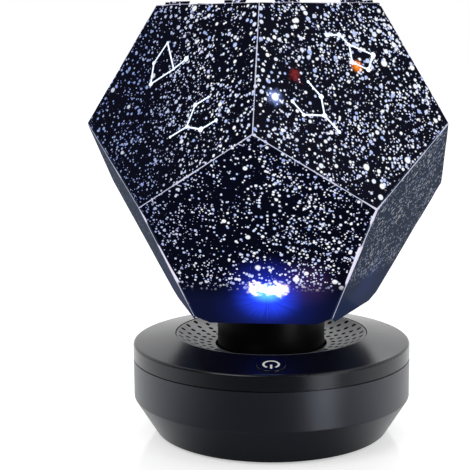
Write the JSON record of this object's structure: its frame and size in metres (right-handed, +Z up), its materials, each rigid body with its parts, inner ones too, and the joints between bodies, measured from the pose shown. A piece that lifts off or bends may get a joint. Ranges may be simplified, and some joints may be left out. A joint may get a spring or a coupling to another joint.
{
  "type": "planetarium projector",
  "caption": "Star projector: a faceted printed film shell on a motor-turned hub over a round speaker base with a perforated dish and a sprung power button.",
  "frame": {"origin": "on the surface that the feet stand on, on the axis that the film turns about", "axes": "+Z up along the turning axis; the power button faces -Y and +X is to the right of someone who looks at it"},
  "size_m": [0.1632, 0.1672, 0.2002],
  "materials": {
    "housing": "satin moulded ABS, near black",
    "button_plastic": "satin moulded ABS, black",
    "symbol": "pale inlay",
    "hub": "fine matt moulded ABS, black",
    "film": "glossy printed film, dark blue with pale dots",
    "rubber": "matt",
    "steel": "zinc plated",
    "acetal": "natural acetal",
    "clamp": "moulded ABS, dark grey",
    "aluminium": "turned",
    "board": "green solder mask",
    "led": "clear capsule",
    "lens": "clear moulded acrylic",
    "motor_can": "drawn and plated",
    "battery_sleeve": "shrink sleeve",
    "basket": "black paint",
    "magnet": "ferrite",
    "paper_cone": "pressed black paper",
    "switch": "moulded"
  },
  "bodies": {
    "base": {"lower_housing": "housing", "upper_cover": "housing", "speaker_grille": "housing", "rubber_feet": "rubber", "charging_socket": "steel", "housing_screws": "steel", "lamp_post": "aluminium", "post_screws": "steel", "thrust_washer": "steel", "lamp_holder": "clamp", "lamp_board": "board", "lamp_leds": "led", "lamp_lens": "lens", "gear_motor": "motor_can", "motor_bracket": "steel", "motor_screws": "steel", "main_board": "board", "board_screws": "steel", "battery_cell": "battery_sleeve", "battery_cradle": "clamp", "speaker_basket_left": "basket", "speaker_basket_right": "basket", "speaker_magnet_left": "magnet", "speaker_magnet_right": "magnet", "speaker_cone_left": "paper_cone", "speaker_cone_right": "paper_cone", "button_switch": "switch", "button_board": "board", "button_screws": "steel"},
    "turntable": {"turntable_hub": "hub", "turntable_bush": "acetal", "turntable_gear": "acetal", "gear_screws": "steel", "film_clamp_ring": "clamp", "clamp_screws": "steel", "film_panel_top": "film", "film_panel_bottom": "film", "film_panel_upper_1": "film", "film_panel_upper_2": "film", "film_panel_upper_3": "film", "film_panel_upper_4": "film", "film_panel_upper_5": "film", "film_panel_lower_1": "film", "film_panel_lower_2": "film", "film_panel_lower_3": "film", "film_panel_lower_4": "film", "film_panel_lower_5": "film"},
    "pinion": {"drive_pinion": "acetal", "motor_shaft": "steel"},
    "power_button": {"power_button_cap": "button_plastic", "power_symbol": "symbol", "switch_plunger": "switch"}
  },
  "joints": [
    {"name": "film_turn", "type": "hinge", "parent": "base", "child": "turntable", "pos_m": [0, 0, 0.0385], "axis": [0, 0, 1], "continuous": true},
    {"name": "pinion_turn", "type": "hinge", "parent": "base", "child": "pinion", "pos_m": [0, 0.03, 0.028], "axis": [0, 0, 1], "continuous": true},
    {"name": "button_press", "type": "slide", "parent": "base", "child": "power_button", "axis": [0, 0.1812, -0.9835], "range_m": [0, 0.0008], "stiffness_N_per_m": 400}
  ],
  "couplings": [
    {"joint": "pinion_turn", "follows": "film_turn", "ratio": -4}
  ]
}
